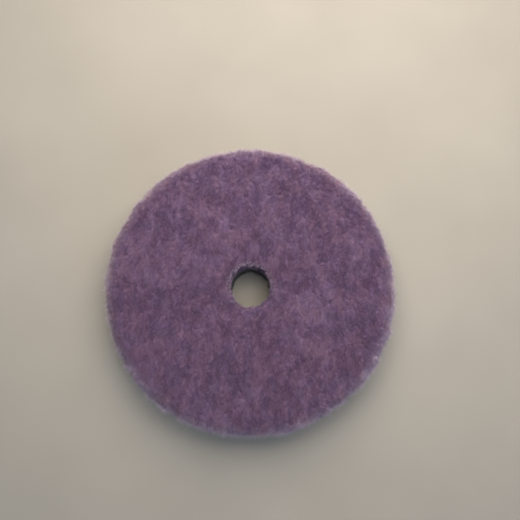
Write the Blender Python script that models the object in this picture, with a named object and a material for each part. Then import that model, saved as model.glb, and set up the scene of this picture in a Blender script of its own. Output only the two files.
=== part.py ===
"""A round wool-felt polishing wheel on a foam cushion, with a hook-and-loop back and a punched centre hole.

The wheel lies on its back, working face up. The origin is the centre of the loop face, which is the face
that a hook-faced backing plate grips, and +Z is the spin axis. Lengths are in metres.

From the back to the working face the wheel is a glued stack of round sheets:
    loop_backing      knitted nylon loop fabric
    rear_glue_film    hot-melt film
    foam_cushion      soft open-cell foam, its cut edge a little hollow
    front_glue_film   hot-melt film
    ground_fabric     the cloth that the wool is rooted in
    felt_face         the dense purple wool pile, which rolls over the edge of the cloth
"""

import math

import bmesh
import bpy

# Driving dimensions.
WHEEL_DIAMETER = 0.150
HOLE_DIAMETER = 0.020
LAMINATE_DIAMETER = 0.140

LOOP_THICKNESS = 0.0020
GLUE_THICKNESS = 0.0003
FOAM_THICKNESS = 0.0070
FABRIC_THICKNESS = 0.0010
PILE_HEIGHT = 0.0095

# The open line on both sides of each glue film, and between the cloth and the felt.
GLUE_LINE = 0.0003

# Derived radii.
WHEEL_RADIUS = WHEEL_DIAMETER / 2
HOLE_RADIUS = HOLE_DIAMETER / 2
LAMINATE_RADIUS = LAMINATE_DIAMETER / 2

# How far each sheet stands in from the laminate's radius, as hand-laid discs do.
FOAM_INSET = 0.0006
GLUE_INSET = 0.0012

# The hollow that a die leaves in the cut edges of soft foam, deeper on the rim than in the hole.
FOAM_RIM_WAIST = 0.0008
FOAM_HOLE_WAIST = FOAM_RIM_WAIST / 2
FOAM_EDGE_STEPS = 8

# The loop fabric: a knitted base, its cut edge eased, and the smaller nap of loops under it.
NAP_HEIGHT = 0.0013
NAP_INSET = 0.0005
CLOTH_EDGE = 0.0002

# The felt face: it rolls from the flat working face over the rim, and hangs past the cloth's edge.
FELT_SKIRT_GAP = 0.0005
FELT_SKIRT_DROP = 0.0022
FELT_FLAT_RADIUS = 0.0685
FELT_WIDEST_HEIGHT = 0.30 * PILE_HEIGHT
FELT_HOLE_LIP = 0.0014
UPPER_RIM_STEPS = 10
LOWER_RIM_STEPS = 5
LIP_STEPS = 5

RING_SEGMENTS = 96
SHARP_ANGLE = math.radians(35)

# Each material's linear colour and roughness.
FINISHES = {
    "purple_felt": ((0.17, 0.09, 0.18), 0.95),
    "ground_cloth": ((0.30, 0.24, 0.32), 0.90),
    "hot_melt_glue": ((0.72, 0.68, 0.58), 0.45),
    "cushion_foam": ((0.030, 0.030, 0.034), 0.95),
    "loop_fabric": ((0.055, 0.055, 0.060), 0.85),
}


def clear_scene():
    for obj in list(bpy.data.objects):
        bpy.data.objects.remove(obj)


def plain_material(name):
    """A Principled material of one colour, with no metal in it."""
    colour, roughness = FINISHES[name]
    material = bpy.data.materials.new(name)
    material.use_nodes = True
    shader = material.node_tree.nodes["Principled BSDF"]
    shader.inputs["Base Color"].default_value = (*colour, 1.0)
    shader.inputs["Roughness"].default_value = roughness
    shader.inputs["Metallic"].default_value = 0.0
    return material


def elliptic_arc(centre, radii, start_deg, end_deg, steps):
    """Points (radius, height) along part of an ellipse, both ends included."""
    points = []
    for step in range(steps + 1):
        angle = math.radians(start_deg + (end_deg - start_deg) * step / steps)
        radius = centre[0] + radii[0] * math.cos(angle)
        height = centre[1] + radii[1] * math.sin(angle)
        points.append((radius, height))
    return points


def turned_ring(name, profile, material, z_base):
    """Spins a closed outline of (radius, height) points about Z into one closed ring, standing at z_base."""
    mesh = bpy.data.meshes.new(name)
    work = bmesh.new()
    corners = [work.verts.new((radius, 0.0, height)) for radius, height in profile]
    edges = [work.edges.new((corners[i - 1], corners[i])) for i in range(len(corners))]
    bmesh.ops.spin(
        work,
        geom=corners + edges,
        cent=(0.0, 0.0, 0.0),
        axis=(0.0, 0.0, 1.0),
        angle=math.tau,
        steps=RING_SEGMENTS,
        use_merge=True,
    )
    bmesh.ops.recalc_face_normals(work, faces=work.faces)
    work.to_mesh(mesh)
    work.free()
    mesh.shade_smooth()
    mesh.set_sharp_from_angle(angle=SHARP_ANGLE)
    ring = bpy.data.objects.new(name, mesh)
    ring.location = (0.0, 0.0, z_base)
    ring.data.materials.append(material)
    bpy.context.scene.collection.objects.link(ring)
    return ring


def flat_sheet_profile(outer_radius, thickness):
    """A square-edged sheet with the centre hole."""
    return [
        (HOLE_RADIUS, 0.0),
        (outer_radius, 0.0),
        (outer_radius, thickness),
        (HOLE_RADIUS, thickness),
    ]


def loop_backing_profile():
    """The nap of loops is set in a little from the knitted base above it, whose cut edge is eased."""
    nap_radius = LAMINATE_RADIUS - NAP_INSET
    return [
        (HOLE_RADIUS, 0.0),
        (nap_radius, 0.0),
        (nap_radius, NAP_HEIGHT),
        (LAMINATE_RADIUS, NAP_HEIGHT),
        (LAMINATE_RADIUS, LOOP_THICKNESS - CLOTH_EDGE),
        (LAMINATE_RADIUS - CLOTH_EDGE, LOOP_THICKNESS),
        (HOLE_RADIUS, LOOP_THICKNESS),
    ]


def foam_profile():
    """Both cut edges are shallow bows, hollow towards the foam."""
    outer = LAMINATE_RADIUS - FOAM_INSET
    rim = []
    bore = []
    for step in range(FOAM_EDGE_STEPS + 1):
        share = step / FOAM_EDGE_STEPS
        bow = math.sin(math.pi * share)
        rim.append((outer - FOAM_RIM_WAIST * bow, FOAM_THICKNESS * share))
        bore.append((HOLE_RADIUS + FOAM_HOLE_WAIST * bow, FOAM_THICKNESS * share))
    return rim + bore[::-1]


def felt_profile():
    """The pile: flat on the cloth, hung over its edge, and rolled over the rim and into the hole."""
    skirt_inner = LAMINATE_RADIUS + FELT_SKIRT_GAP
    skirt_middle = (skirt_inner + WHEEL_RADIUS) / 2
    root_plane = [(HOLE_RADIUS, 0.0), (skirt_inner, 0.0), (skirt_inner, -FELT_SKIRT_DROP)]
    lower_rim = elliptic_arc(
        (skirt_middle, FELT_WIDEST_HEIGHT),
        (WHEEL_RADIUS - skirt_middle, FELT_WIDEST_HEIGHT + FELT_SKIRT_DROP),
        -90,
        0,
        LOWER_RIM_STEPS,
    )
    upper_rim = elliptic_arc(
        (FELT_FLAT_RADIUS, FELT_WIDEST_HEIGHT),
        (WHEEL_RADIUS - FELT_FLAT_RADIUS, PILE_HEIGHT - FELT_WIDEST_HEIGHT),
        0,
        90,
        UPPER_RIM_STEPS,
    )
    hole_lip = elliptic_arc(
        (HOLE_RADIUS + FELT_HOLE_LIP, PILE_HEIGHT - FELT_HOLE_LIP),
        (FELT_HOLE_LIP, FELT_HOLE_LIP),
        90,
        180,
        LIP_STEPS,
    )
    return root_plane + lower_rim[:-1] + upper_rim + hole_lip


def stacked_sheets():
    """(name, profile, thickness, material name) of each sheet, from the back to the working face."""
    glue_profile = flat_sheet_profile(LAMINATE_RADIUS - GLUE_INSET, GLUE_THICKNESS)
    cloth_profile = flat_sheet_profile(LAMINATE_RADIUS, FABRIC_THICKNESS)
    return [
        ("loop_backing", loop_backing_profile(), LOOP_THICKNESS, "loop_fabric"),
        ("rear_glue_film", glue_profile, GLUE_THICKNESS, "hot_melt_glue"),
        ("foam_cushion", foam_profile(), FOAM_THICKNESS, "cushion_foam"),
        ("front_glue_film", glue_profile, GLUE_THICKNESS, "hot_melt_glue"),
        ("ground_fabric", cloth_profile, FABRIC_THICKNESS, "ground_cloth"),
        ("felt_face", felt_profile(), PILE_HEIGHT, "purple_felt"),
    ]


def build_wheel():
    materials = {name: plain_material(name) for name in FINISHES}
    z_base = 0.0
    for name, profile, thickness, finish in stacked_sheets():
        turned_ring(name, profile, materials[finish], z_base)
        z_base += thickness + GLUE_LINE


clear_scene()
build_wheel()
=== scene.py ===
"""Looks of the wool-felt polishing wheel: pile, cloth, glue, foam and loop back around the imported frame.

Lengths are in metres, in the frame of the CAD model, and sizes come from its nodes. The pile is a lumpy
body with more than 120,000 curled strands rooted in it, which lie in tufts. Every strand's UV map runs from
its root to its tip in U and holds the strand's tone in V, and the strand material is painted from that map.

A tone is a place on WOOL_TONES, from 0, the darkest wool, to 1, the palest. The side of the wheel that is
towards -Y is its near side, and the pile lies over towards it.
"""

import math

import bmesh
import bpy
import numpy as np
from mathutils import Matrix, Vector, kdtree, noise


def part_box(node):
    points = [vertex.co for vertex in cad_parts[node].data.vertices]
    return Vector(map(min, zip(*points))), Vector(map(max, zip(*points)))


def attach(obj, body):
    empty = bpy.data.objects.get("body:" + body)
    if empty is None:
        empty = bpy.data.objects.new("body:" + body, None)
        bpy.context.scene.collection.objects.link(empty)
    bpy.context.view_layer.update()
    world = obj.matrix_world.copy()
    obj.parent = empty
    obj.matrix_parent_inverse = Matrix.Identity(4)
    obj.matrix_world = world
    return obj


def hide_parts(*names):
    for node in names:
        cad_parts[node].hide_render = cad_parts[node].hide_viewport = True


MM = 0.001
UP = np.array([0.0, 0.0, 1.0])
FLAT = np.array([1.0, 1.0, 0.0])
GOLDEN_ANGLE = math.pi * (3.0 - math.sqrt(5.0))
STRAND_UV = "OFBake"
STRAND_SIDES = 3
SIDE_TONE_STEP = 0.02
SEED = 20

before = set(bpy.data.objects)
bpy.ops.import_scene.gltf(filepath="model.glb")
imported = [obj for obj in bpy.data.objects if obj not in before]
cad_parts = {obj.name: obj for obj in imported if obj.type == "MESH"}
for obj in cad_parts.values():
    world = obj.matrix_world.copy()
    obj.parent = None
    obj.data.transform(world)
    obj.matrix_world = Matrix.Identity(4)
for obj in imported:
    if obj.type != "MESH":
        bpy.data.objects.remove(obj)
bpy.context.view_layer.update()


def node_radii(node):
    """The smallest and largest distance of a node's corners from the spin axis."""
    reach = [math.hypot(v.co.x, v.co.y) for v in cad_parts[node].data.vertices]
    return min(reach), max(reach)


# Sizes read from the frame.
HOLE_RADIUS, WHEEL_RADIUS = node_radii("felt_face")
SKIRT_Z, FACE_Z = (corner.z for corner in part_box("felt_face"))
CLOTH_LOW, CLOTH_HIGH = (corner.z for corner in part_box("ground_fabric"))
CLOTH_RADIUS = node_radii("ground_fabric")[1]
FOAM_LOW, FOAM_HIGH = (corner.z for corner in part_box("foam_cushion"))
FOAM_RADIUS = node_radii("foam_cushion")[1]
GLUE_RADIUS = node_radii("front_glue_film")[1]
LOOP_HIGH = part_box("loop_backing")[1].z
LOOP_RADIUS = node_radii("loop_backing")[1]

# The pile's outline, as in the CAD model.
ROOT_Z = CLOTH_HIGH + 0.3 * MM
SKIRT_INNER = CLOTH_RADIUS + 0.5 * MM
FLAT_RADIUS = 68.5 * MM
WIDEST_Z = ROOT_Z + 0.30 * (FACE_Z - ROOT_Z)
HOLE_LIP = 1.4 * MM


# ---------------------------------------------------------------- meshes

def object_of(name, mesh, material):
    """A piece of this mesh, in the scene."""
    obj = bpy.data.objects.new(name, mesh)
    mesh.materials.append(material)
    bpy.context.scene.collection.objects.link(obj)
    return obj


def mesh_of(name, points, faces):
    """A smooth mesh from (n, 3) points and (m, k) arrays of faces, one array for each number of corners."""
    mesh = bpy.data.meshes.new(name)
    corners = np.concatenate([part.ravel() for part in faces]).astype(np.int32)
    sizes = np.concatenate([np.full(len(part), part.shape[1]) for part in faces])
    starts = np.concatenate([[0], np.cumsum(sizes)[:-1]]).astype(np.int32)
    mesh.vertices.add(len(points))
    mesh.vertices.foreach_set("co", points.astype(np.float32).ravel())
    mesh.loops.add(len(corners))
    mesh.loops.foreach_set("vertex_index", corners)
    mesh.polygons.add(len(sizes))
    mesh.polygons.foreach_set("loop_start", starts)
    mesh.polygons.foreach_set("use_smooth", np.full(len(sizes), True))
    mesh.update(calc_edges=True)
    mesh.validate()
    return mesh


def unit(vectors):
    return vectors / np.maximum(np.linalg.norm(vectors, axis=-1, keepdims=True), 1e-12)


def strands_of(name, lines, radii, twist, tone, material):
    """A piece of closed three-sided tubes along lines, an (n, k, 3) array, with the strand UV map.

    radii is (n, k - 1), one for every point but the last, where each tube ends in a point. twist turns each
    tube about its line, and tone is its tone.
    """
    count, steps = lines.shape[:2]
    rings = steps - 1
    sides = STRAND_SIDES
    tangent = unit(np.gradient(lines, axis=1))
    helper = np.where(np.abs(tangent[:, :1, 2:3]) > 0.8, [[[1.0, 0.0, 0.0]]], [[[0.0, 0.0, 1.0]]])
    first = unit(np.cross(tangent, helper))
    second = np.cross(tangent, first)
    angle = twist[:, None] + np.arange(sides) * math.tau / sides
    around = (
        first[:, :rings, None] * np.cos(angle)[:, None, :, None]
        + second[:, :rings, None] * np.sin(angle)[:, None, :, None]
    )
    hoops = lines[:, :rings, None] + around * radii[:, :, None, None]
    each = rings * sides + 1
    points = np.concatenate([hoops.reshape(count, rings * sides, 3), lines[:, -1:]], axis=1)
    base = (np.arange(count) * each)[:, None, None]
    walls = []
    for ring in range(rings - 1):
        for side in range(sides):
            here = ring * sides + side
            beside = ring * sides + (side + 1) % sides
            walls.append((here, beside, beside + sides, here + sides))
    last = (rings - 1) * sides
    caps = [(last + side, last + (side + 1) % sides, each - 1) for side in range(sides)]
    caps.append((0, 2, 1))
    wall_faces = (base + np.array(walls)[None]).reshape(-1, 4)
    cap_faces = (base + np.array(caps)[None]).reshape(-1, 3)
    mesh = mesh_of(name, points.reshape(-1, 3), [wall_faces, cap_faces])
    paint_strand_uv(mesh, tone, each, rings)
    return object_of(name, mesh, material)


def paint_strand_uv(mesh, tone, each, rings):
    """U is the share of the way from root to tip, and V the strand's tone, a little apart on each side.

    Both stay a little clear of the map's edges.
    """
    corners = np.empty(len(mesh.loops), np.int32)
    mesh.loops.foreach_get("vertex_index", corners)
    strand, local = np.divmod(corners, each)
    along = np.minimum(local // STRAND_SIDES, rings) / rings
    side = np.where(local == each - 1, 1, local % STRAND_SIDES)
    band = tone[strand] + (side - 1) * SIDE_TONE_STEP
    layer = mesh.uv_layers.new(name=STRAND_UV)
    u = 0.02 + 0.96 * along
    v = 0.04 + 0.92 * np.clip(band, 0.0, 1.0)
    uv = np.stack([u, v], axis=1)
    layer.data.foreach_set("uv", uv.astype(np.float32).ravel())


def ring_of(name, profile, segments, move, material):
    """A ring piece: the closed outline (radius, height) turned about Z, its points then shifted by move."""
    profile = np.array(profile)
    rows = len(profile)
    angle = np.arange(segments) * math.tau / segments
    points = np.empty((segments, rows, 3))
    points[..., 0] = profile[None, :, 0] * np.cos(angle)[:, None]
    points[..., 1] = profile[None, :, 0] * np.sin(angle)[:, None]
    points[..., 2] = profile[None, :, 1]
    points = move(points)
    this = np.arange(segments)[:, None] * rows + np.arange(rows)[None]
    turned = np.roll(this, -1, axis=0)
    quads = np.stack([this, turned, np.roll(turned, -1, axis=1), np.roll(this, -1, axis=1)], axis=-1)
    return object_of(name, mesh_of(name, points.reshape(-1, 3), [quads.reshape(-1, 4)]), material)


def from_axis(points):
    """Each point's distance from the spin axis, and the flat unit vector from the axis to it."""
    radius = np.linalg.norm(points[:, :2], axis=1)
    return radius, points * FLAT / radius[:, None]


def noise_at(points, size, seed):
    """Smooth noise, about -1 to 1, at each of (n, 3) points, its lumps about this size."""
    shift = Vector((seed * 17.3, seed * 5.1, seed * 9.7))
    return np.array([noise.noise(Vector(p) / size + shift) for p in points]) * 1.6


def smooth_step(values, low, high):
    """0 at low and below, 1 at high and above, and an easy curve between them."""
    share = np.clip((values - low) / (high - low), 0.0, 1.0)
    return share * share * (3.0 - 2.0 * share)


# ---------------------------------------------------------------- materials

class Paint:
    """A new Principled material and short ways to add nodes to it."""

    def __init__(self, name, roughness, **plain):
        self.material = bpy.data.materials.new(name)
        self.material.use_nodes = True
        self.tree = self.material.node_tree
        self.shader = self.tree.nodes["Principled BSDF"]
        self.shader.inputs["Roughness"].default_value = roughness
        for socket, value in plain.items():
            self.shader.inputs[socket.replace("_", " ")].default_value = value

    def node(self, kind, values=(), **settings):
        made = self.tree.nodes.new("ShaderNode" + kind)
        for key, value in settings.items():
            setattr(made, key, value)
        for socket, value in dict(values).items():
            if isinstance(value, bpy.types.NodeSocket):
                self.tree.links.new(value, made.inputs[socket])
            else:
                made.inputs[socket].default_value = value
        return made

    def ramp(self, factor, stops):
        """A colour ramp with (position, colour) stops; a colour is three numbers or one grey."""
        made = self.node("ValToRGB", {"Fac": factor})
        elements = made.color_ramp.elements
        while len(elements) < len(stops):
            elements.new(0.5)
        for element, (position, colour) in zip(elements, stops):
            element.position = position
            element.color = (*colour, 1.0) if isinstance(colour, tuple) else (colour,) * 3 + (1.0,)
        return made.outputs["Color"]

    def spread(self, value, low, high):
        """A 0-1 value spread over low to high."""
        made = self.node("MapRange", {"Value": value, "To Min": low, "To Max": high})
        return made.outputs["Result"]

    def blend(self, how, share, below, above):
        made = self.node("Mix", data_type="RGBA", blend_type=how)
        for index, value in ((0, share), (6, below), (7, above)):
            if isinstance(value, bpy.types.NodeSocket):
                self.tree.links.new(value, made.inputs[index])
            else:
                made.inputs[index].default_value = value if index == 0 else (*value, 1.0)
        return made.outputs[2]

    def noise(self, size, detail=2.0, where=None, stretch=None):
        """Noise in object space with lumps about this size, in metres, or along a given vector."""
        if where is None:
            where = self.node("TexCoord").outputs["Object"]
        if stretch is not None:
            where = self.node("Mapping", {"Vector": where, "Scale": stretch}).outputs["Vector"]
        made = self.node("TexNoise", {"Vector": where, "Scale": 1.0 / size, "Detail": detail})
        return made.outputs["Fac"]

    def cells(self, size):
        """The distance from the nearest of the cell centres, which are about this far apart."""
        where = self.node("TexCoord").outputs["Object"]
        made = self.node("TexVoronoi", {"Vector": where, "Scale": 1.0 / size})
        return made.outputs["Distance"]

    def use(self, socket, value):
        self.tree.links.new(value, self.shader.inputs[socket])

    def bump(self, height, distance):
        made = self.node("Bump", {"Height": height, "Distance": distance, "Strength": 1.0})
        self.use("Normal", made.outputs["Normal"])


# The wool's linear colour by tone: the dark of its depths, the face, and a pale top that paints the light
# through thin loose ends and the sheen on the rim.
WOOL_TONES = (
    (0.00, (0.080, 0.037, 0.110)),
    (0.30, (0.160, 0.091, 0.198)),
    (0.55, (0.217, 0.134, 0.248)),
    (0.80, (0.292, 0.195, 0.318)),
    (1.00, (0.620, 0.520, 0.680)),
)
# What a third of the tufts each are multiplied by: a bluer purple, the plain one, and a redder one.
WOOL_TINTS = {
    "violet": (0.96, 0.99, 1.02),
    "purple": (1.0, 1.0, 1.0),
    "mauve": (1.07, 1.01, 0.93),
}


def strand_material(shade, name="wool", sheen=0.25):
    """Dyed wool: the strand's own tone, darker towards its root by painted shade, with faint flecks."""
    sheen_tint = (1.0, 0.90, 1.0, 1.0)
    paint = Paint(f"{name}_{shade}", 0.88, Sheen_Weight=sheen, Sheen_Roughness=0.45, Sheen_Tint=sheen_tint)
    map_uv = paint.node("UVMap", uv_map=STRAND_UV).outputs["UV"]
    parts = paint.node("SeparateXYZ", {"Vector": map_uv})
    tone = paint.ramp(parts.outputs["Y"], WOOL_TONES)
    # Painted shade: the strand darkens towards its root, deep in the pile.
    depth = paint.ramp(parts.outputs["X"], ((0.0, 0.78), (0.4, 0.93), (0.8, 1.0), (1.0, 1.0)))
    fleck = paint.noise(1.0, 1.0, where=map_uv, stretch=(5.0, 45.0, 1.0))
    fleck = paint.ramp(fleck, ((0.3, 0.90), (0.7, 1.0)))
    colour = paint.blend("MULTIPLY", 1.0, tone, depth)
    colour = paint.blend("MULTIPLY", 1.0, colour, fleck)
    paint.use("Base Color", paint.blend("MULTIPLY", 1.0, colour, WOOL_TINTS[shade]))
    return paint.material


def pile_body_material():
    """The dense wool below the tips: painted shade darkens it between the tufts, and it is mottled on them.
    """
    sheen_tint = (1.0, 0.88, 0.97, 1.0)
    paint = Paint("dense_wool", 0.95, Sheen_Weight=0.2, Sheen_Roughness=0.5, Sheen_Tint=sheen_tint)
    height, tone, hue = (
        paint.node("Attribute", attribute_name=name).outputs["Fac"]
        for name in ("tuft_height", "tuft_tone", "tuft_hue")
    )
    tone = paint.ramp(tone, WOOL_TONES)
    # Painted shade: the wool darkens down between the tufts' domes.
    depth = paint.ramp(height, ((0.0, 0.78), (0.6, 0.93), (1.0, 1.0)))
    tint = paint.blend("MIX", hue, WOOL_TINTS["violet"], WOOL_TINTS["mauve"])
    colour = paint.blend("MULTIPLY", 1.0, tone, depth)
    paint.use("Base Color", paint.blend("MULTIPLY", 1.0, colour, tint))
    fibre = paint.noise(0.35 * MM, 2.0)
    paint.use("Roughness", paint.spread(fibre, 0.85, 1.0))
    paint.bump(fibre, 0.3 * MM)
    return paint.material


# The distance between the bands of a Wave texture whose scale is 1.
WAVE_PERIOD = 0.314


def cloth_material(name, dark, light, thread, roughness):
    """Plain woven or knitted cloth: crossed threads of this pitch, in metres."""
    paint = Paint(name, roughness, Sheen_Weight=0.25, Sheen_Roughness=0.5)
    where = paint.node("TexCoord").outputs["Object"]
    waves = []
    for axis in ("X", "Y"):
        wave = paint.node(
            "TexWave",
            {"Vector": where, "Scale": WAVE_PERIOD / thread, "Distortion": 0.6, "Detail": 1.0},
            wave_type="BANDS",
            bands_direction=axis,
        )
        waves.append(wave.outputs["Fac"])
    weave = paint.node("Math", {0: waves[0], 1: waves[1]}, operation="MAXIMUM").outputs["Value"]
    fuzz = paint.noise(0.4 * MM, 3.0)
    lightness = paint.node("Math", {0: weave, 1: fuzz}, operation="MULTIPLY").outputs["Value"]
    paint.use("Base Color", paint.ramp(lightness, ((0.1, dark), (0.7, light))))
    paint.use("Roughness", paint.spread(fuzz, roughness - 0.1, min(1.0, roughness + 0.08)))
    paint.bump(weave, 0.15 * MM)
    return paint.material


def foam_material():
    """Open-cell foam: charcoal struts, and pores painted near black as shade."""
    paint = Paint("open_cell_foam", 0.9, Sheen_Weight=0.1)
    pore = paint.cells(0.5 * MM)
    patch = paint.noise(6.0 * MM, 2.0)
    # Painted shade: the pores, the cells' middles, are darkened to near black.
    struts = paint.ramp(pore, ((0.1, (0.010, 0.010, 0.012)), (0.6, (0.058, 0.058, 0.064))))
    tint = paint.ramp(patch, ((0.3, 0.75), (0.7, 1.15)))
    paint.use("Base Color", paint.blend("MULTIPLY", 1.0, struts, tint))
    paint.use("Roughness", paint.spread(patch, 0.82, 0.98))
    paint.bump(pore, 0.2 * MM)
    return paint.material


def glue_material():
    """Hot-melt film: amber-cream, smooth in spots where it flowed."""
    paint = Paint("hot_melt_film", 0.45, Subsurface_Weight=0.15, Coat_Weight=0.15)
    flow = paint.noise(2.5 * MM, 3.0)
    paint.use("Base Color", paint.ramp(flow, ((0.3, (0.34, 0.29, 0.21)), (0.7, (0.52, 0.47, 0.38)))))
    paint.use("Roughness", paint.spread(flow, 0.3, 0.6))
    paint.bump(flow, 0.1 * MM)
    return paint.material


def nylon_loop_material():
    """Fine nylon filament: charcoal grey with a slight shine, from the strand UV map."""
    paint = Paint("nylon_loops", 0.42, Sheen_Weight=0.15)
    map_uv = paint.node("UVMap", uv_map=STRAND_UV).outputs["UV"]
    parts = paint.node("SeparateXYZ", {"Vector": map_uv})
    tone = paint.ramp(parts.outputs["Y"], ((0.0, (0.022, 0.022, 0.026)), (1.0, (0.115, 0.115, 0.125))))
    fleck = paint.noise(1.0, 1.0, where=map_uv, stretch=(12.0, 30.0, 1.0))
    fleck = paint.ramp(fleck, ((0.3, 0.8), (0.7, 1.0)))
    paint.use("Base Color", paint.blend("MULTIPLY", 1.0, tone, fleck))
    return paint.material


# ---------------------------------------------------------------- wool pile

def elliptic_arc(centre, radii, start_deg, end_deg, steps):
    """Points (radius, height) along part of an ellipse, both ends included."""
    angle = np.radians(np.linspace(start_deg, end_deg, steps + 1))
    return np.stack([centre[0] + radii[0] * np.cos(angle), centre[1] + radii[1] * np.sin(angle)], axis=1)


def pile_outline():
    """Points (radius, height) along the pile's outside, from inside the hole to under the skirt."""
    skirt_middle = (SKIRT_INNER + WHEEL_RADIUS) / 2
    wall = np.array([(HOLE_RADIUS, ROOT_Z)])
    lip = elliptic_arc((HOLE_RADIUS + HOLE_LIP, FACE_Z - HOLE_LIP), (HOLE_LIP, HOLE_LIP), 180, 90, 8)
    upper = elliptic_arc(
        (FLAT_RADIUS, WIDEST_Z), (WHEEL_RADIUS - FLAT_RADIUS, FACE_Z - WIDEST_Z), 90, 0, 24
    )
    lower = elliptic_arc(
        (skirt_middle, WIDEST_Z), (WHEEL_RADIUS - skirt_middle, WIDEST_Z - SKIRT_Z), 0, -90, 12
    )
    underside = np.array([(SKIRT_INNER + 0.4 * MM, SKIRT_Z)])
    return np.concatenate([wall, lip, upper, lower[1:], underside])


OUTLINE_SAMPLES = 4000


def pile_spots(count, jitter, rng):
    """Points spread evenly over the pile's outside on a golden-angle spiral, shaken by jitter.

    Each comes with its surface normal and the flat direction outward from the spin axis.
    """
    outline = pile_outline()
    step = np.diff(outline, axis=0)
    length = np.linalg.norm(step, axis=1)
    along = np.concatenate([[0.0], np.cumsum(length)])
    fine = np.linspace(0.0, along[-1], OUTLINE_SAMPLES)
    radius = np.interp(fine, along, outline[:, 0])
    height = np.interp(fine, along, outline[:, 1])
    area = np.concatenate([[0.0], np.cumsum((radius[1:] + radius[:-1]) / 2 * np.diff(fine))])
    index = np.arange(count)
    place = np.interp((index + 0.5) / count * area[-1], area, fine)
    place = np.clip(place + rng.uniform(-jitter, jitter, count), 0.0, along[-1])
    spot_radius = np.interp(place, fine, radius)
    spot_height = np.interp(place, fine, height)
    angle = index * GOLDEN_ANGLE + rng.uniform(-jitter, jitter, count) / spot_radius
    turn_r = np.interp(place, fine, np.gradient(radius, fine))
    turn_z = np.interp(place, fine, np.gradient(height, fine))
    outward = np.stack([np.cos(angle), np.sin(angle), np.zeros(count)], axis=1)
    spots = outward * spot_radius[:, None] + UP * spot_height[:, None]
    normals = unit(-outward * turn_z[:, None] + UP * turn_r[:, None])
    return spots, normals, outward


TUFT_SPACING = 1.3 * MM
TUFT_COUNT = 15300
TUFT_JITTER = 0.38 * TUFT_SPACING

# Tones of the tufts: on the open face, how much paler the rim's upper side is painted, as sheen where light
# catches it side-on, and how much paler they are where worn by the hole.
FACE_TONE = 0.176
PAINTED_SHEEN_SHOULDER = 0.37
PAINTED_SHEEN_EDGE = 0.37
WORN_HOLE = 0.10

# The palest that the dense wool, a strand on the face and a strand at the rim may be.
PALEST_BODY = 0.86
PALEST_FACE = 0.82
PALEST_RIM = 0.98


def ragged_edges(points):
    """The shift, (n, 3), that makes the pile's rim and the punched hole uneven.

    It fades out over 6 mm from the hole and over 5 mm from the rim.
    """
    radius, outward = from_axis(points)
    at_hole = 1.0 - smooth_step(radius, HOLE_RADIUS + 0.6 * MM, HOLE_RADIUS + 6.0 * MM)
    at_rim = smooth_step(radius, WHEEL_RADIUS - 5.0 * MM, WHEEL_RADIUS - 1.0 * MM)
    broad = noise_at(points, 5.0 * MM, 8.0)
    fine = noise_at(points, 1.7 * MM, 9.0)
    slow = noise_at(points, 24.0 * MM, 12.0)
    wander = at_hole * (1.05 + 0.60 * broad + 1.0 * fine)
    wander += at_rim * (0.50 * slow + 0.85 * broad + 0.75 * fine - 0.60)
    return outward * (wander * MM)[:, None]


def painted_lit_share(points):
    """How far the pile at each point is painted as lit: 1 on the face and shoulder, 0 under the rim, which
    is left in painted shade.
    """
    return smooth_step(points[:, 2], WIDEST_Z - 3.5 * MM, WIDEST_Z + 2.5 * MM)


class Tufts:
    """Where the tufts stand, which way they lie over, how tall they are and how they are toned."""

    def __init__(self, count, rng):
        self.spots, self.normals, self.outward = pile_spots(count, TUFT_JITTER, rng)
        self.spots += ragged_edges(self.spots)
        self.rise = rng.normal(0.0, 0.06 * MM, count) + noise_at(self.spots, 9.0 * MM, 1.0) * 0.20 * MM
        radius, _ = from_axis(self.spots)
        self.near_hole = 1.0 - smooth_step(radius, HOLE_RADIUS + 1.0 * MM, HOLE_RADIUS + 4.0 * MM)
        self.on_rim = smooth_step(radius, FLAT_RADIUS - 1.5 * MM, WHEEL_RADIUS)
        self.lean = self.lie_over(rng)
        self.tone, self.hue = self.dye_and_painted_sheen(rng)

    def lie_over(self, rng):
        """Unit vectors along the surface, towards the near side, that swing a little from place to place.

        Round the hole the pile lies into it, and on the rim outwards and down.
        """
        count = len(self.spots)
        sweep = noise_at(self.spots, 13.0 * MM, 2.0) * 0.32 + rng.normal(0.0, 0.16, count)
        lean = np.stack([np.sin(sweep), -np.cos(sweep), np.zeros(count)], axis=1)
        lean = lean * (1.0 - 0.8 * self.near_hole)[:, None] - self.outward * (0.9 * self.near_hole)[:, None]
        lean += (self.outward * 0.7 - UP * 1.3) * self.on_rim[:, None]
        lean -= self.normals * np.sum(lean * self.normals, axis=1, keepdims=True)
        return unit(lean)

    def dye_and_painted_sheen(self, rng):
        """Each tuft's tone and hue, mottled in lumps that are longer along Y than across it; on the rim's
        upper side the tone is painted paler, as sheen.

        Nothing here drifts from one side of the wheel to the other, and the broadest noise has a seed that
        leaves the sides about equal: the fall-off across the wheel is the lamps' part.
        """
        count = len(self.spots)
        squeezed = self.spots * [1.28, 0.84, 1.0]
        mottle = noise_at(squeezed, 2.4 * MM, 3.0) * 0.185 + noise_at(squeezed, 6.0 * MM, 4.0) * 0.16
        mottle += noise_at(self.spots, 22.0 * MM, 30.0) * 0.08
        # Painted sheen: tufts on the rim's upper side are made paler, as where light catches the wool
        # side-on.
        lightness = PAINTED_SHEEN_SHOULDER * self.on_rim + PAINTED_SHEEN_EDGE * smooth_step(self.on_rim, 0.30, 1.0)
        lightness = lightness * painted_lit_share(self.spots)
        tone = FACE_TONE + mottle + rng.normal(0.0, 0.035, count) + lightness + WORN_HOLE * self.near_hole
        hue = noise_at(squeezed, 5.5 * MM, 6.0) + 0.6 * noise_at(self.spots, 16.0 * MM, 7.0)
        hue += rng.normal(0.0, 0.10, count)
        return tone, hue


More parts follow.
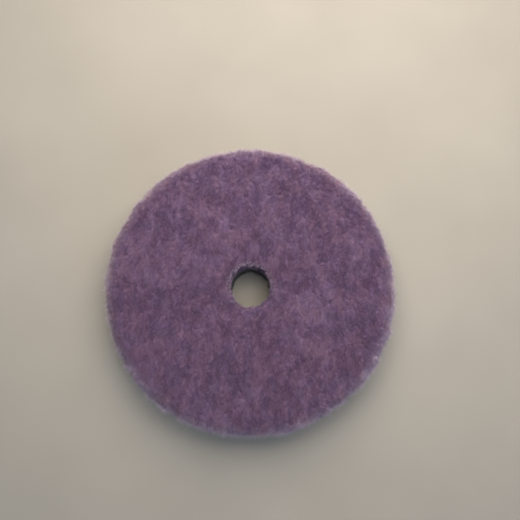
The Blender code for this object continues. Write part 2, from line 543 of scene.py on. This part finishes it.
def strand_lines(tufts, owner, steps, rng, depth, reach, curl, lift, spread, gather):
    """Centre lines of strands that rise from a tuft's foot, bend over its lean and curl at the tip.

    owner is each strand's tuft. A strand starts depth below the surface, ends up to about lift above it and
    up to about reach along the lean, and swings by up to curl. Feet lie within spread of the tuft, and
    gather draws the tips in.
    """
    count = len(owner)
    normal = tufts.normals[owner]
    lean = tufts.lean[owner]
    side = np.cross(normal, lean)
    stray = rng.normal(0.0, 0.24, count)[:, None]
    lean = lean * np.cos(stray) + side * np.sin(stray)
    side = np.cross(normal, lean)
    share = np.linspace(0.0, 1.0, steps)[None, :, None]
    foot_radius = spread * np.sqrt(rng.uniform(0.0, 1.0, count))
    foot_angle = rng.uniform(0.0, math.tau, count)
    foot = (lean * np.cos(foot_angle)[:, None] + side * np.sin(foot_angle)[:, None]) * foot_radius[:, None]
    rise = (depth + lift * rng.uniform(-0.5, 1.0, count) + tufts.rise[owner])[:, None, None]
    forward = (reach * rng.uniform(0.35, 1.0, count))[:, None, None]
    phase = rng.uniform(0.0, math.tau, count)[:, None, None]
    turns = rng.uniform(0.7, 1.6, count)[:, None, None] * math.tau
    swing = (curl * rng.uniform(0.4, 1.0, count))[:, None, None] * share**0.7
    wave = turns * share + phase
    return (
        tufts.spots[owner][:, None]
        + foot[:, None] * (1.0 - gather * share)
        + normal[:, None] * (rise * (1.0 - (1.0 - share) ** 2.2) - depth + swing * 0.4 * np.sin(wave + 1.3))
        + lean[:, None] * (forward * share**1.7 + swing * 0.8 * np.cos(wave))
        + side[:, None] * swing * np.sin(wave)
    )


def taper(count, rings, root, tip, rng):
    """Strand radii, (count, rings), that thin from root to tip; some strands are finer than others."""
    share = np.linspace(0.0, 1.0, rings)[None]
    shape = root + (tip - root) * share**1.5
    return shape * rng.uniform(0.75, 1.25, count)[:, None]


def remeshed_felt(name, voxel):
    """The CAD felt ring as a mesh of small even faces."""
    rough = bpy.data.objects.new("felt_rough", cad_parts["felt_face"].data.copy())
    bpy.context.scene.collection.objects.link(rough)
    remesh = rough.modifiers.new("remesh", "REMESH")
    remesh.mode = "VOXEL"
    remesh.voxel_size = voxel
    graph = bpy.context.evaluated_depsgraph_get()
    mesh = bpy.data.meshes.new_from_object(rough.evaluated_get(graph))
    bpy.data.objects.remove(rough)
    mesh.name = name
    mesh.materials.clear()
    return mesh


def vertex_rows(mesh, what):
    """Every vertex's co or normal, as an (n, 3) array."""
    values = np.empty(len(mesh.vertices) * 3)
    mesh.vertices.foreach_get(what, values)
    return values.reshape(-1, 3)


def nearest_tufts(tufts, points):
    """For each point, which tuft is nearest and how far away it is."""
    tree = kdtree.KDTree(len(tufts.spots))
    for index, spot in enumerate(tufts.spots):
        tree.insert(spot, index)
    tree.balance()
    nearest = [tree.find(point) for point in points]
    return np.array([found[1] for found in nearest]), np.array([found[2] for found in nearest])


def felt_pile_body(tufts, material):
    """The felt ring drawn in by about the length of the tips, with a dome at each tuft.

    Its root plane and the inside of its skirt stay where the CAD model has them.
    """
    drawn_in = 0.95 * MM
    dome_height = 0.40 * MM
    mesh = remeshed_felt("felt_pile_body", 0.70 * MM)
    points = vertex_rows(mesh, "co")
    normals = vertex_rows(mesh, "normal")
    owner, away = nearest_tufts(tufts, points)
    dome = 1.0 - smooth_step(away, 0.1 * MM, 0.68 * TUFT_SPACING)
    radius, _ = from_axis(points)
    under = (points[:, 2] < ROOT_Z + 0.3 * MM) & (radius < SKIRT_INNER + 0.4 * MM)
    shown = np.where(under & (radius > HOLE_RADIUS + 0.8 * MM), 0.0, 1.0)
    lumps = noise_at(points, 0.9 * MM, 5.0) * 0.10 * MM
    shift = (-drawn_in + dome_height * dome + 0.8 * tufts.rise[owner] + lumps) * shown
    points = points + normals * shift[:, None] + ragged_edges(points) * shown[:, None]
    mesh.vertices.foreach_set("co", points.astype(np.float32).ravel())
    hue_rank = np.argsort(np.argsort(tufts.hue)) / len(tufts.hue)
    for attribute, values in {
        "tuft_height": dome * shown,
        # Painted light and shade: raised lumps are made paler and sunk ones darker.
        "tuft_tone": np.clip(tufts.tone[owner] + 0.4 * lumps / MM, 0.0, PALEST_BODY),
        "tuft_hue": hue_rank[owner],
    }.items():
        layer = mesh.attributes.new(attribute, "FLOAT", "POINT")
        layer.data.foreach_set("value", values.astype(np.float32))
    mesh.shade_smooth()
    mesh.update()
    return object_of("felt_pile_body", mesh, material)


STRANDS_PER_TUFT = 8
STRAND_POINTS = 5
MOST_STRANDS = 9000

# Now and then a strand has kept the dark of the depths.
DARK_SHARE = 0.012
DARK_DROP = 0.55


def felt_strands(tufts, wool, rng):
    """The pile's strands, whole tufts of one shade together, in pieces of about MOST_STRANDS or fewer."""
    pieces = []
    low, high = np.quantile(tufts.hue, (0.33, 0.67))
    shades = {
        "violet": tufts.hue < low,
        "purple": (tufts.hue >= low) & (tufts.hue < high),
        "mauve": tufts.hue >= high,
    }
    for shade, chosen in shades.items():
        members = np.flatnonzero(chosen)
        parts = math.ceil(len(members) * STRANDS_PER_TUFT / MOST_STRANDS)
        for part in range(parts):
            owner = np.repeat(members[part::parts], STRANDS_PER_TUFT)
            name = f"felt_strands_{shade}_{part + 1}"
            pieces.append(strand_piece(name, tufts, owner, wool[shade], rng))
    return pieces


def strand_piece(name, tufts, owner, material, rng):
    """Strands that stand a little taller on the rim, and are shorter by the hole."""
    rim = tufts.on_rim[owner]
    lines = strand_lines(
        tufts,
        owner,
        STRAND_POINTS,
        rng,
        depth=0.90 * MM,
        reach=(2.3 + 0.2 * rim - 1.4 * tufts.near_hole[owner]) * MM,
        curl=0.15 * MM,
        lift=(0.17 + 0.30 * rim + 0.15 * tufts.near_hole[owner]) * MM,
        spread=0.95 * MM,
        gather=0.10,
    )
    radii = taper(len(owner), STRAND_POINTS - 1, 0.070 * MM, 0.035 * MM, rng)
    dark = rng.uniform(0.0, 1.0, len(owner)) < DARK_SHARE
    streak = 0.068 * noise_at(lines[:, 0] * [2.6, 0.7, 1.0], 1.5 * MM, 10.0)
    tone = tufts.tone[owner] + streak + rng.normal(0.0, 0.026, len(owner)) - DARK_DROP * dark
    tone = np.clip(tone, 0.0, PALEST_FACE + (PALEST_RIM - PALEST_FACE) * rim)
    twist = rng.uniform(0.0, math.tau, len(owner))
    return strands_of(name, lines, radii, twist, tone, material)


# How many places the fuzz is drawn from, and which way the side of the hole with the most fuzz lies.
FUZZ_PLACES = 150000
FRAYED_SIDE = (-0.30, 0.95, 0.0)


def rim_fuzz(rng):
    """Fine ends that stand out all round the rim and over the hole's lip, so neither has a hard edge; they
    are painted pale for the light that shines through them.

    They are painted darker under the rim, as shade.
    """
    spots, normals, outward = pile_spots(FUZZ_PLACES, 0.4 * MM, rng)
    spots += ragged_edges(spots)
    radius, _ = from_axis(spots)
    shoulder = FLAT_RADIUS + rng.uniform(1.0, 6.0, len(radius)) * MM
    on_rim = (radius > shoulder) & (spots[:, 2] > SKIRT_Z + 1.0 * MM)
    at_widest = (radius > WHEEL_RADIUS - 2.0 * MM) & (np.abs(spots[:, 2] - WIDEST_Z) < 2.4 * MM)
    at_hole = (radius < HOLE_RADIUS + 2.6 * MM) & (spots[:, 2] > FACE_Z - 1.2 * MM)
    at_hole &= outward @ FRAYED_SIDE > rng.uniform(-0.8, 0.95, len(radius))
    pieces = []
    wool = strand_material("purple", "loose_wool", sheen=0.45)
    # Lengths and root radii are in millimetres, and pale is the tone, painted pale for the light through
    # the thin ends. most limits how many ends there are;
    # the hole has fewer places than that, and each gets one.
    for name, chosen, shortest, longest, most, thick, pale in (
        ("felt_rim_fuzz_1", at_widest, 0.7, 3.6, 8900, 0.050, 1.0),
        ("felt_rim_fuzz_2", on_rim, 0.5, 2.2, 8900, 0.048, 0.95),
        ("felt_hole_fuzz", at_hole, 0.5, 2.1, 1700, 0.055, 0.92),
    ):
        members = rng.permutation(np.flatnonzero(chosen))[:most]
        reach = (shortest + (longest - shortest) * rng.uniform(0.0, 1.0, len(members)) ** 1.8) * MM
        lines = fuzz_lines(spots[members], normals[members], outward[members], reach, rng)
        radii = taper(len(members), lines.shape[1] - 1, thick * MM, 0.5 * thick * MM, rng)
        # Painted shade: ends under the rim are made darker.
        painted_under_shade = 1.0 - painted_lit_share(spots[members])
        tone = np.clip(pale - 0.5 * painted_under_shade**2 + rng.normal(0.0, 0.08, len(members)), 0.0, 1.0)
        twist = rng.uniform(0.0, math.tau, len(members))
        pieces.append(strands_of(name, lines, radii, twist, tone, wool))
    return pieces


def fuzz_lines(spots, normals, outward, reach, rng):
    """Bent lines that start a little under the surface and stand out of it every which way."""
    count = len(spots)
    sunk = 0.7 * MM
    share = np.linspace(0.0, 1.0, 5)[None, :, None]
    sideways = np.cross(UP, outward)
    heading = unit(
        normals
        + sideways * rng.normal(0.0, 0.75, count)[:, None]
        + UP * rng.normal(0.0, 0.55, count)[:, None]
        + outward * 0.4 * np.sign(np.sum(outward * normals, axis=1))[:, None]
    )
    bend = unit(np.cross(heading, rng.normal(0.0, 1.0, (count, 3))))
    length = reach[:, None, None]
    return (
        spots[:, None]
        - normals[:, None] * sunk
        + heading[:, None] * share * (length + sunk)
        + bend[:, None] * length * 0.5 * share**2
    )


def stray_fibres(material, rng):
    """Loose single fibres, finer and curlier than the strands, that stand up over the face and rim."""
    count = 3600
    steps = 8
    spots = Tufts(count, rng)
    owner = np.arange(count)
    lines = strand_lines(
        spots,
        owner,
        steps,
        rng,
        depth=0.8 * MM,
        reach=(2.6 + 0.6 * spots.on_rim) * MM,
        curl=0.65 * MM,
        lift=(0.7 + 0.9 * spots.on_rim) * MM,
        spread=1.0 * MM,
        gather=0.0,
    )
    radii = taper(count, steps - 1, 0.045 * MM, 0.025 * MM, rng)
    tone = np.clip(0.62 + rng.normal(0.0, 0.10, count), 0.0, PALEST_FACE)
    twist = rng.uniform(0.0, math.tau, count)
    return strands_of("felt_stray_fibres", lines, radii, twist, tone, material)


# ---------------------------------------------------------------- sheets, glue and foam

SHEET_SEGMENTS = 420
SHEET_FACE_ROWS = 24
SHEET_EDGE_ROWS = 3
FOAM_SEGMENTS = 1250


def sheet_profile(inner, outer, low, high, rounding=0.12 * MM):
    """A flat ring's closed outline with eased cut edges."""
    across = np.linspace(inner + rounding, outer - rounding, SHEET_FACE_ROWS)
    across_back = np.linspace(outer - rounding, inner + rounding, SHEET_FACE_ROWS)
    up = np.linspace(low + rounding, high - rounding, SHEET_EDGE_ROWS)
    down = np.linspace(high - rounding, low + rounding, SHEET_EDGE_ROWS)
    bottom = [(radius, low) for radius in across]
    rim = [(outer, height) for height in up]
    top = [(radius, high) for radius in across_back]
    bore = [(inner, height) for height in down]
    return bottom + rim + top + bore


def uneven(edge_size, edge_move, wave_size, wave_move, seed, bore_move=0.0):
    """A move for ring_of: the cut edges wander in and out, and the sheet waves a little up and down.

    bore_move is how far the punched hole's edge wanders beyond that.
    """

    def move(points):
        flat = points.reshape(-1, 3)
        radius, outward = from_axis(flat)
        span = (radius - radius.min()) / (radius.max() - radius.min())
        at_edge = smooth_step(np.abs(span - 0.5), 0.40, 0.5)
        at_bore = 1.0 - smooth_step(radius, radius.min(), radius.min() + 4.0 * MM)
        reach = edge_move * at_edge + bore_move * at_bore
        wander = noise_at(flat * FLAT, edge_size, seed) * reach
        wave = noise_at(flat * FLAT, wave_size, seed + 1.0) * wave_move
        flat = flat + outward * wander[:, None] + UP * wave[:, None]
        return flat.reshape(points.shape)

    return move


def foam_ring(material):
    """The die-cut foam cushion: its edges are hollow and pitted with open cells, and the hole is torn."""
    waist = 0.8 * MM
    cell = 0.62 * MM
    pit = 0.30 * MM
    rows = 26
    share = np.linspace(0.0, 1.0, rows)
    bow = np.sin(math.pi * share)
    heights = FOAM_LOW + (FOAM_HIGH - FOAM_LOW) * share
    rim = list(zip(FOAM_RADIUS - waist * bow, heights))
    bore = list(zip(HOLE_RADIUS + waist / 2 * bow, heights))[::-1]
    bottom = [(radius, FOAM_LOW) for radius in np.linspace(HOLE_RADIUS, FOAM_RADIUS, 10)[1:-1]]
    top = [(radius, FOAM_HIGH) for radius in np.linspace(FOAM_RADIUS, HOLE_RADIUS, 10)[1:-1]]

    def pitted(points):
        flat = points.reshape(-1, 3)
        radius, outward = from_axis(flat)
        on_rim = radius > FOAM_RADIUS - 1.2 * waist
        on_bore = radius < HOLE_RADIUS + 1.2 * waist
        pore = np.array([noise.voronoi(Vector(p) / cell)[0][0] for p in flat])
        sink = pit * (1.0 - smooth_step(pore, 0.12, 0.62)) + noise_at(flat, 5.0 * MM, 7.0) * 0.12 * MM
        sink += np.where(on_bore, noise_at(flat * [1.0, 1.0, 0.3], 3.5 * MM, 15.0) * 0.55 * MM, 0.0)
        inward = np.where(on_rim, -1.0, np.where(on_bore, 1.0, 0.0))
        flat = flat + outward * (inward * sink)[:, None]
        return flat.reshape(points.shape)

    return ring_of("foam_cushion_body", bottom + rim + top + bore, FOAM_SEGMENTS, pitted, material)


def ground_cloth(material):
    """The woven sheet that the wool is rooted in."""
    profile = sheet_profile(HOLE_RADIUS + 0.4 * MM, CLOTH_RADIUS - 0.1 * MM, CLOTH_LOW, CLOTH_HIGH)
    move = uneven(
        edge_size=2.0 * MM,
        edge_move=0.18 * MM,
        wave_size=9.0 * MM,
        wave_move=0.05 * MM,
        seed=11.0,
    )
    return ring_of("ground_cloth_sheet", profile, SHEET_SEGMENTS, move, material)


def glue_film(name, low, high, seed, material):
    """A film squeezed between two sheets: it fills the glue line and its edges ooze unevenly."""
    profile = sheet_profile(HOLE_RADIUS + 0.8 * MM, GLUE_RADIUS - 0.5 * MM, low, high, rounding=0.2 * MM)
    move = uneven(edge_size=3.0 * MM, edge_move=0.35 * MM, wave_size=12.0 * MM, wave_move=0.0, seed=seed)
    return ring_of(name, profile, SHEET_SEGMENTS, move, material)


LOOP_CLOTH_LOW = 1.3 * MM


def loop_cloth(material):
    """The knitted sheet that the nap of loops hangs from."""
    profile = sheet_profile(HOLE_RADIUS + 0.1 * MM, LOOP_RADIUS - 0.1 * MM, LOOP_CLOTH_LOW, LOOP_HIGH)
    move = uneven(
        edge_size=2.5 * MM,
        edge_move=0.15 * MM,
        wave_size=10.0 * MM,
        wave_move=0.04 * MM,
        seed=17.0,
        bore_move=0.5 * MM,
    )
    return ring_of("loop_cloth_sheet", profile, SHEET_SEGMENTS, move, material)


def loop_nap(material, rng):
    """Arches of nylon filament that hang from the loop cloth, crushed a little where the wheel rests."""
    pieces = []
    count = 12600
    steps = 7
    parts = 3
    index = np.arange(count)
    inner, outer = HOLE_RADIUS + 0.4 * MM, LOOP_RADIUS - 0.7 * MM
    radius = np.sqrt(inner**2 + (outer**2 - inner**2) * (index + 0.5) / count)
    angle = index * GOLDEN_ANGLE + rng.normal(0.0, 0.3 * MM, count) / radius
    foot = np.stack([radius * np.cos(angle), radius * np.sin(angle), np.full(count, LOOP_CLOTH_LOW)], 1)
    share = np.linspace(0.0, 1.0, steps)
    for number in range(parts):
        chosen = slice(number, count, parts)
        size = len(foot[chosen])
        heading = rng.uniform(0.0, math.tau, size)
        along = np.stack([np.cos(heading), np.sin(heading), np.zeros(size)], axis=1)
        across = np.cross(along, UP)
        width = rng.uniform(0.6, 1.0, size) * MM
        drop = rng.uniform(0.85, 1.38, size) * MM
        flop = rng.uniform(-0.9, 0.9, size) * MM
        hang = np.sin(math.pi * share) ** 0.7
        arch = share - 0.5 + 0.28 * np.sin(math.tau * share)
        lines = (
            foot[chosen][:, None]
            + along[:, None] * (width[:, None] * arch)[:, :, None]
            + across[:, None] * (flop[:, None] * hang)[:, :, None]
            - UP * (drop[:, None] * hang - 0.15 * MM)[:, :, None]
        )
        lines[..., 2] = np.maximum(lines[..., 2], 0.10 * MM)
        radii = taper(size, steps - 1, 0.075 * MM, 0.07 * MM, rng)
        name = f"loop_nap_{number + 1}"
        tone = rng.uniform(0.1, 0.9, size)
        twist = rng.uniform(0.0, math.tau, size)
        pieces.append(strands_of(name, lines, radii, twist, tone, material))
    return pieces


# ---------------------------------------------------------------- the wheel

def build_wheel():
    """Every visible piece, attached to the body it rides on."""
    rng = np.random.default_rng(SEED)
    tufts = Tufts(TUFT_COUNT, rng)

    body = felt_pile_body(tufts, pile_body_material())
    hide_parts("felt_face")
    wool = {shade: strand_material(shade) for shade in WOOL_TINTS}
    pile = [body, *felt_strands(tufts, wool, rng), stray_fibres(wool["mauve"], rng), *rim_fuzz(rng)]

    cloth = ground_cloth(
        cloth_material("woven_ground_cloth", (0.08, 0.05, 0.09), (0.27, 0.20, 0.29), 0.8 * MM, 0.85)
    )
    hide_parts("ground_fabric")

    glue = glue_material()
    front_glue = glue_film("front_glue_layer", FOAM_HIGH + 0.05 * MM, CLOTH_LOW - 0.08 * MM, 13.0, glue)
    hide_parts("front_glue_film")
    rear_glue = glue_film("rear_glue_layer", LOOP_HIGH + 0.08 * MM, FOAM_LOW - 0.05 * MM, 14.0, glue)
    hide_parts("rear_glue_film")

    foam = foam_ring(foam_material())
    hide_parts("foam_cushion")

    back = loop_cloth(
        cloth_material("knitted_loop_cloth", (0.012, 0.012, 0.015), (0.085, 0.085, 0.095), 0.9 * MM, 0.75)
    )
    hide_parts("loop_backing")
    nap = loop_nap(nylon_loop_material(), rng)

    for slot, pieces in {
        "purple_felt": pile,
        "ground_cloth": [cloth],
        "hot_melt_glue": [front_glue, rear_glue],
        "cushion_foam": [foam],
        "loop_fabric": [back, *nap],
    }.items():
        for piece in pieces:
            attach(piece, "root")


# ---------------------------------------------------------------- stage, lights and camera

def make_floor():
    """A plain pale table, matt so that it shows no glare of the lamps."""
    mesh = bpy.data.meshes.new("floor")
    work = bmesh.new()
    bmesh.ops.create_circle(work, cap_ends=True, segments=96, radius=3.0)
    work.to_mesh(mesh)
    work.free()
    paint = Paint("pale_floor", 0.92)
    patch = paint.noise(60.0 * MM, 2.0)
    tone = paint.ramp(patch, ((0.3, (0.287, 0.272, 0.250)), (0.7, (0.311, 0.296, 0.273))))
    paint.use("Base Color", tone)
    object_of("floor", mesh, paint.material)


def aim(obj, place, target):
    """Puts a camera or light at place, looking at target, with +Y towards the top of its picture."""
    forward = (Vector(target) - Vector(place)).normalized()
    right = forward.cross(Vector((0.0, 1.0, 0.0))).normalized()
    top = right.cross(forward)
    turn = Matrix((right, top, -forward)).transposed()
    obj.matrix_world = Matrix.Translation(Vector(place)) @ turn.to_4x4()


def add_light(name, kind, place, target, power, colour):
    """A lamp of this kind, pointing at target; returns its data, for its size."""
    data = bpy.data.lights.new(name, kind)
    data.energy = power
    data.color = colour
    light = bpy.data.objects.new(name, data)
    light.visible_camera = False
    bpy.context.scene.collection.objects.link(light)
    aim(light, place, target)
    return data


def make_lights():
    """A broad warm key low over the far side, a cool fill from near right, and soft light from the room.

    The key hangs close, so its light falls off across the wheel and the table, and it is broad, so the
    wheel's shadow is soft.
    """
    centre = (0.0, 0.0, 0.0)
    key_target = (0.03, 0.09, 0.0)
    key = add_light("window_light", "AREA", (0.045, 0.215, 0.270), key_target, 2.76, (1.0, 0.89, 0.74))
    key.size = 0.42
    fill = add_light("near_fill", "AREA", (0.60, -0.80, 0.40), centre, 3.8, (0.74, 0.84, 1.0))
    fill.size = 0.60
    ceiling = add_light("ceiling_light", "SUN", (0.24, -0.18, 1.0), centre, 0.62, (0.90, 0.94, 1.0))
    ceiling.angle = math.radians(30.0)
    world = bpy.data.worlds.new("soft_room")
    bpy.context.scene.world = world
    world.use_nodes = True
    background = world.node_tree.nodes["Background"]
    background.inputs["Color"].default_value = (0.74, 0.87, 1.0, 1.0)
    background.inputs["Strength"].default_value = 0.20


def make_camera():
    """Nearly overhead: the view leans a little from the wheel's near side, so the hole's far wall shows."""
    data = bpy.data.cameras.new("camera")
    data.sensor_width = 36.0
    data.lens = 40.4
    data.clip_start = 0.01
    data.clip_end = 20.0
    camera = bpy.data.objects.new("camera", data)
    bpy.context.scene.collection.objects.link(camera)
    place = (0.0051, -0.041, FACE_Z + 0.296)
    target = (0.0051, 0.0134, FACE_Z)
    aim(camera, place, target)
    bpy.context.scene.camera = camera


build_wheel()
make_floor()
make_lights()
make_camera()
bpy.context.scene.view_settings.view_transform = "Standard"
